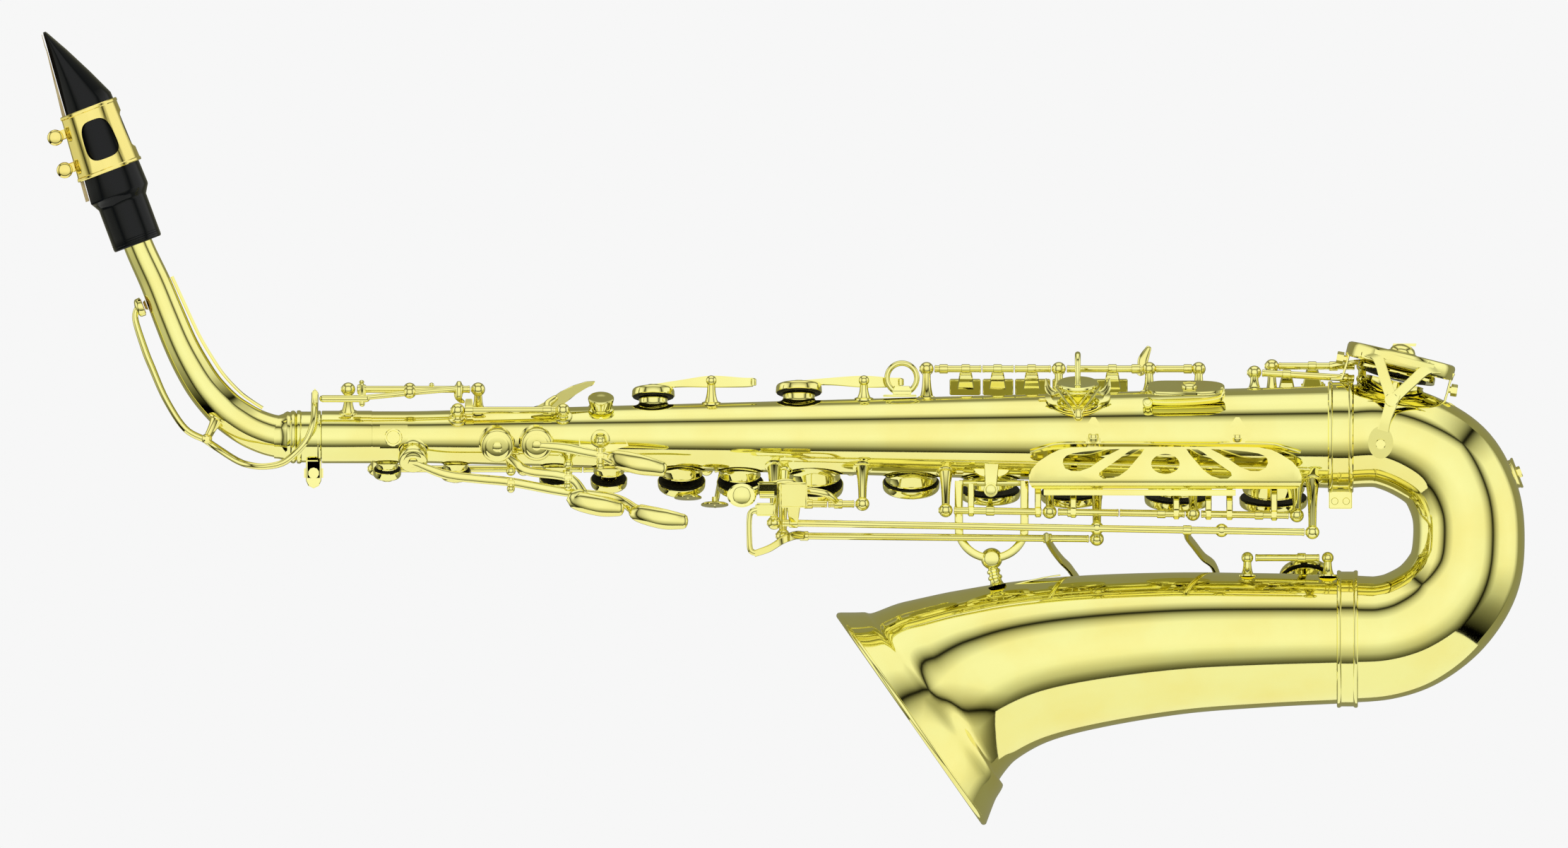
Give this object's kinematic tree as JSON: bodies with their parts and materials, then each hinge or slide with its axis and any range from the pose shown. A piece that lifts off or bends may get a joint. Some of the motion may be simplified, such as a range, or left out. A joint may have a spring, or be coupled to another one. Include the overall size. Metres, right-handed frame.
{
  "type": "alto saxophone",
  "caption": "Curved alto saxophone: conical tube with bow, flared bell, bent neck, mouthpiece, hinged padded keys, guards and strap ring.",
  "frame": {"origin": "centre of the strap ring's hoop", "axes": "+X along the body tube towards the bow, +Z towards the thumb side, +Y away from the left-hand key side"},
  "size_m": [0.698, 0.1257, 0.3733],
  "materials": {
    "lacquered_brass": "polished gold lacquer",
    "ebonite": "glossy black",
    "cane": "dry cane",
    "cork": "waxed cork"
  },
  "bodies": {
    "body": {"body_tube": "lacquered_brass", "bow": "lacquered_brass", "bell": "lacquered_brass", "neck_receiver": "lacquered_brass", "body_bow_ring": "lacquered_brass", "bow_bell_ring": "lacquered_brass", "bell_brace": "lacquered_brass", "strap_ring": "lacquered_brass", "thumb_rest": "lacquered_brass", "thumb_hook": "lacquered_brass", "thumb_plate": "lacquered_brass", "stack_key_guard": "lacquered_brass", "low_c_guard": "lacquered_brass", "low_eb_guard": "lacquered_brass", "bell_key_guard": "lacquered_brass"},
    "neck": {"neck_tube": "lacquered_brass", "neck_brace": "lacquered_brass", "neck_cork": "cork", "neck_octave_pip": "lacquered_brass"},
    "mouthpiece": {"mouthpiece": "ebonite", "reed": "cane", "ligature": "lacquered_brass"},
    "f_sharp_key": {"f_sharp_key": "lacquered_brass"},
    "f_key": {"f_key": "lacquered_brass"},
    "e_key": {"e_key": "lacquered_brass"},
    "d_key": {"d_key": "lacquered_brass"},
    "c_key": {"c_key": "lacquered_brass"},
    "b_key": {"b_key": "lacquered_brass"},
    "bis_key": {"bis_key": "lacquered_brass"},
    "a_key": {"a_key": "lacquered_brass"},
    "g_key": {"g_key": "lacquered_brass"},
    "g_sharp_key": {"g_sharp_key": "lacquered_brass"},
    "high_f_sharp_key": {"high_f_sharp_key": "lacquered_brass"},
    "high_e_key": {"high_e_key": "lacquered_brass"},
    "palm_d_key": {"palm_d_key": "lacquered_brass"},
    "palm_eb_key": {"palm_eb_key": "lacquered_brass"},
    "palm_f_key": {"palm_f_key": "lacquered_brass"},
    "side_c_lever": {"side_c_lever": "lacquered_brass"},
    "side_bb_lever": {"side_bb_lever": "lacquered_brass"},
    "side_e_touch": {"side_e_touch": "lacquered_brass"},
    "side_c_touch": {"side_c_touch": "lacquered_brass"},
    "side_bb_touch": {"side_bb_touch": "lacquered_brass"},
    "high_f_sharp_touch": {"high_f_sharp_touch": "lacquered_brass"},
    "low_b_key": {"low_b_key": "lacquered_brass"},
    "low_bb_key": {"low_bb_key": "lacquered_brass"},
    "low_c_sharp_key": {"low_c_sharp_key": "lacquered_brass"},
    "g_sharp_touch": {"g_sharp_touch": "lacquered_brass"},
    "low_c_sharp_touch": {"low_c_sharp_touch": "lacquered_brass"},
    "low_c_key": {"low_c_key": "lacquered_brass"},
    "low_eb_key": {"low_eb_key": "lacquered_brass"},
    "thumb_octave_key": {"thumb_octave_key": "lacquered_brass"},
    "body_octave_key": {"body_octave_key": "lacquered_brass"},
    "neck_octave_key": {"neck_octave_key": "lacquered_brass"},
    "ligature_screw_upper": {"ligature_screw_upper": "lacquered_brass"},
    "ligature_screw_lower": {"ligature_screw_lower": "lacquered_brass"},
    "neck_clamp_screw": {"neck_clamp_screw": "lacquered_brass"}
  },
  "joints": [
    {"name": "f_sharp_hinge", "type": "hinge", "parent": "body", "child": "f_sharp_key", "pos_m": [0.045, -0.019, -0.06255], "axis": [0.9999, 0, -0.0145], "range_deg": [0, 5.6], "stiffness_Nm_per_rad": 0.05, "springref_deg": -6.88},
    {"name": "f_hinge", "type": "hinge", "parent": "body", "child": "f_key", "pos_m": [0.0876, -0.019, -0.06317], "axis": [0.9999, 0, -0.0145], "range_deg": [0, 5.6], "stiffness_Nm_per_rad": 0.05, "springref_deg": -6.88},
    {"name": "e_hinge", "type": "hinge", "parent": "body", "child": "e_key", "pos_m": [0.1177, -0.019, -0.06361], "axis": [0.9999, 0, -0.0145], "range_deg": [0, 5.6], "stiffness_Nm_per_rad": 0.05, "springref_deg": -6.88},
    {"name": "d_hinge", "type": "hinge", "parent": "body", "child": "d_key", "pos_m": [0.1613, -0.019, -0.06424], "axis": [0.9999, 0, -0.0145], "range_deg": [0, 5.6], "stiffness_Nm_per_rad": 0.05, "springref_deg": -6.88},
    {"name": "c_hinge", "type": "hinge", "parent": "body", "child": "c_key", "pos_m": [-0.1623, 0.0275, -0.0427], "axis": [1, 0, 0], "range_deg": [-5.6, 0], "stiffness_Nm_per_rad": 0.05, "springref_deg": 6.88},
    {"name": "b_hinge", "type": "hinge", "parent": "body", "child": "b_key", "pos_m": [-0.136, 0.0275, -0.0427], "axis": [1, 0, 0], "range_deg": [-5.6, 0], "stiffness_Nm_per_rad": 0.05, "springref_deg": 6.88},
    {"name": "bis_hinge", "type": "hinge", "parent": "body", "child": "bis_key", "pos_m": [-0.1087, 0.0275, -0.0427], "axis": [1, 0, 0], "range_deg": [-5.6, 0], "stiffness_Nm_per_rad": 0.05, "springref_deg": 6.88},
    {"name": "a_hinge", "type": "hinge", "parent": "body", "child": "a_key", "pos_m": [-0.0743, 0.0275, -0.0427], "axis": [1, 0, 0], "range_deg": [-5.6, 0], "stiffness_Nm_per_rad": 0.05, "springref_deg": 6.88},
    {"name": "g_hinge", "type": "hinge", "parent": "body", "child": "g_key", "pos_m": [-0.0439, 0.0275, -0.0427], "axis": [1, 0, 0], "range_deg": [-5.6, 0], "stiffness_Nm_per_rad": 0.05, "springref_deg": 6.88},
    {"name": "g_sharp_hinge", "type": "hinge", "parent": "body", "child": "g_sharp_key", "pos_m": [-0.008, 0.0275, -0.0427], "axis": [1, 0, 0], "range_deg": [0, 8], "stiffness_Nm_per_rad": 0.05, "springref_deg": -6.88},
    {"name": "high_f_sharp_hinge", "type": "hinge", "parent": "body", "child": "high_f_sharp_key", "pos_m": [-0.2292, 0.0275, -0.0427], "axis": [1, 0, 0], "range_deg": [0, 8], "stiffness_Nm_per_rad": 0.05, "springref_deg": -6.88},
    {"name": "high_e_hinge", "type": "hinge", "parent": "body", "child": "high_e_key", "pos_m": [-0.1978, 0.0275, -0.0427], "axis": [1, 0, 0], "range_deg": [0, 8], "stiffness_Nm_per_rad": 0.05, "springref_deg": -6.88},
    {"name": "palm_d_hinge", "type": "hinge", "parent": "body", "child": "palm_d_key", "pos_m": [-0.157, -0.0185, -0.0467], "axis": [0, 0, 1], "range_deg": [0, 4], "stiffness_Nm_per_rad": 0.05, "springref_deg": -6.88},
    {"name": "palm_eb_hinge", "type": "hinge", "parent": "body", "child": "palm_eb_key", "pos_m": [-0.1419, -0.024, -0.0363], "axis": [0, 0, 1], "range_deg": [0, 7], "stiffness_Nm_per_rad": 0.05, "springref_deg": -6.88},
    {"name": "palm_f_hinge", "type": "hinge", "parent": "body", "child": "palm_f_key", "pos_m": [-0.184, -0.016, -0.0489], "axis": [0, 0, 1], "range_deg": [0, 5], "stiffness_Nm_per_rad": 0.05, "springref_deg": -6.88},
    {"name": "side_c_lever_hinge", "type": "hinge", "parent": "body", "child": "side_c_lever", "pos_m": [-0.0897, 0.004, -0.0012], "axis": [0, 1, 0], "range_deg": [0, 8], "stiffness_Nm_per_rad": 0.05, "springref_deg": -6.88},
    {"name": "side_bb_lever_hinge", "type": "hinge", "parent": "body", "child": "side_bb_lever", "pos_m": [-0.0179, 0.004, -0.0012], "axis": [0, 1, 0], "range_deg": [0, 8], "stiffness_Nm_per_rad": 0.05, "springref_deg": -6.88},
    {"name": "side_e_touch_hinge", "type": "hinge", "parent": "body", "child": "side_e_touch", "pos_m": [0.0263, 0.009, 0.0043], "axis": [1, 0, 0], "range_deg": [-7, 0], "stiffness_Nm_per_rad": 0.05, "springref_deg": 6.88},
    {"name": "side_c_touch_hinge", "type": "hinge", "parent": "body", "child": "side_c_touch", "pos_m": [0.0452, 0.009, 0.0043], "axis": [1, 0, 0], "range_deg": [-7, 0], "stiffness_Nm_per_rad": 0.05, "springref_deg": 6.88},
    {"name": "side_bb_touch_hinge", "type": "hinge", "parent": "body", "child": "side_bb_touch", "pos_m": [0.0615, 0.009, 0.0043], "axis": [1, 0, 0], "range_deg": [-7, 0], "stiffness_Nm_per_rad": 0.05, "springref_deg": 6.88},
    {"name": "high_f_sharp_touch_hinge", "type": "hinge", "parent": "body", "child": "high_f_sharp_touch", "pos_m": [0.093, 0.009, 0.0043], "axis": [1, 0, 0], "range_deg": [-7, 0], "stiffness_Nm_per_rad": 0.05, "springref_deg": 6.88},
    {"name": "low_b_hinge", "type": "hinge", "parent": "body", "child": "low_b_key", "pos_m": [0.0665, -0.027, -0.07027], "axis": [0.9998, 0, -0.0176], "range_deg": [-4.2, 0], "stiffness_Nm_per_rad": 0.05, "springref_deg": 6.88},
    {"name": "low_bb_hinge", "type": "hinge", "parent": "body", "child": "low_bb_key", "pos_m": [0.0179, -0.016, -0.07488], "axis": [0.9999, 0, -0.01], "range_deg": [-4.2, 0], "stiffness_Nm_per_rad": 0.05, "springref_deg": 6.88},
    {"name": "low_c_sharp_hinge", "type": "hinge", "parent": "body", "child": "low_c_sharp_key", "pos_m": [0.1813, -0.006, -0.0845], "axis": [1, 0, 0], "range_deg": [0, 8], "stiffness_Nm_per_rad": 0.05, "springref_deg": -6.88},
    {"name": "g_sharp_touch_hinge", "type": "hinge", "parent": "body", "child": "g_sharp_touch", "pos_m": [-0.0411, -0.023, -0.0592], "axis": [1, 0, 0], "range_deg": [-8, 0], "stiffness_Nm_per_rad": 0.05, "springref_deg": 6.88},
    {"name": "low_c_sharp_touch_hinge", "type": "hinge", "parent": "body", "child": "low_c_sharp_touch", "pos_m": [-0.0286, -0.023, -0.0592], "axis": [1, 0, 0], "range_deg": [-8, 0], "stiffness_Nm_per_rad": 0.05, "springref_deg": 6.88},
    {"name": "low_c_hinge", "type": "hinge", "parent": "body", "child": "low_c_key", "pos_m": [0.1951, 0.022, 0.0056], "axis": [1, 0, 0], "range_deg": [0, 3.7], "stiffness_Nm_per_rad": 0.05, "springref_deg": -6.88},
    {"name": "low_eb_hinge", "type": "hinge", "parent": "body", "child": "low_eb_key", "pos_m": [0.1911, 0.01, 0.00108], "axis": [0.9982, 0, -0.0599], "range_deg": [0, 2.8], "stiffness_Nm_per_rad": 0.05, "springref_deg": -6.88},
    {"name": "thumb_octave_hinge", "type": "hinge", "parent": "body", "child": "thumb_octave_key", "pos_m": [-0.1841, -0.013, -0.0151], "axis": [1, 0, 0], "range_deg": [-8, 0], "stiffness_Nm_per_rad": 0.05, "springref_deg": 6.88},
    {"name": "body_octave_hinge", "type": "hinge", "parent": "body", "child": "body_octave_key", "pos_m": [-0.2298, -0.0075, -0.0053], "axis": [1, 0, 0], "range_deg": [0, 8], "stiffness_Nm_per_rad": 0.05, "springref_deg": -6.88},
    {"name": "neck_octave_hinge", "type": "hinge", "parent": "neck", "child": "neck_octave_key", "pos_m": [-0.327, 0, -0.0285], "axis": [0, -1, 0], "range_deg": [0, 5], "stiffness_Nm_per_rad": 0.05, "springref_deg": -6.88},
    {"name": "neck_swivel", "type": "hinge", "parent": "body", "child": "neck", "pos_m": [-0.28, 0, -0.0277], "axis": [1, 0, 0], "range_deg": [-12, 12]},
    {"name": "mouthpiece_slide", "type": "slide", "parent": "neck", "child": "mouthpiece", "axis": [-0.3543, 0, 0.9351], "range_m": [-0.004, 0.006]},
    {"name": "ligature_screw_upper_turn", "type": "hinge", "parent": "mouthpiece", "child": "ligature_screw_upper", "pos_m": [-0.39832, 0, 0.11305], "axis": [0, 1, 0], "continuous": true},
    {"name": "ligature_screw_lower_turn", "type": "hinge", "parent": "mouthpiece", "child": "ligature_screw_lower", "pos_m": [-0.3939, 0, 0.09772], "axis": [0, 1, 0], "continuous": true},
    {"name": "neck_clamp_screw_turn", "type": "hinge", "parent": "body", "child": "neck_clamp_screw", "pos_m": [-0.2768, 0, -0.0447], "axis": [0, 1, 0], "continuous": true}
  ],
  "couplings": [
    {"joint": "side_c_lever_hinge", "follows": "side_c_touch_hinge", "ratio": -1.1},
    {"joint": "side_bb_lever_hinge", "follows": "side_bb_touch_hinge", "ratio": -1.1},
    {"joint": "high_e_hinge", "follows": "side_e_touch_hinge", "ratio": -1.1},
    {"joint": "high_f_sharp_hinge", "follows": "high_f_sharp_touch_hinge", "ratio": -1.1},
    {"joint": "g_sharp_hinge", "follows": "g_sharp_touch_hinge", "ratio": -1},
    {"joint": "low_c_sharp_hinge", "follows": "low_c_sharp_touch_hinge", "ratio": -1},
    {"joint": "body_octave_hinge", "follows": "thumb_octave_hinge", "ratio": -1},
    {"joint": "neck_octave_hinge", "follows": "thumb_octave_hinge", "ratio": -0.6}
  ]
}
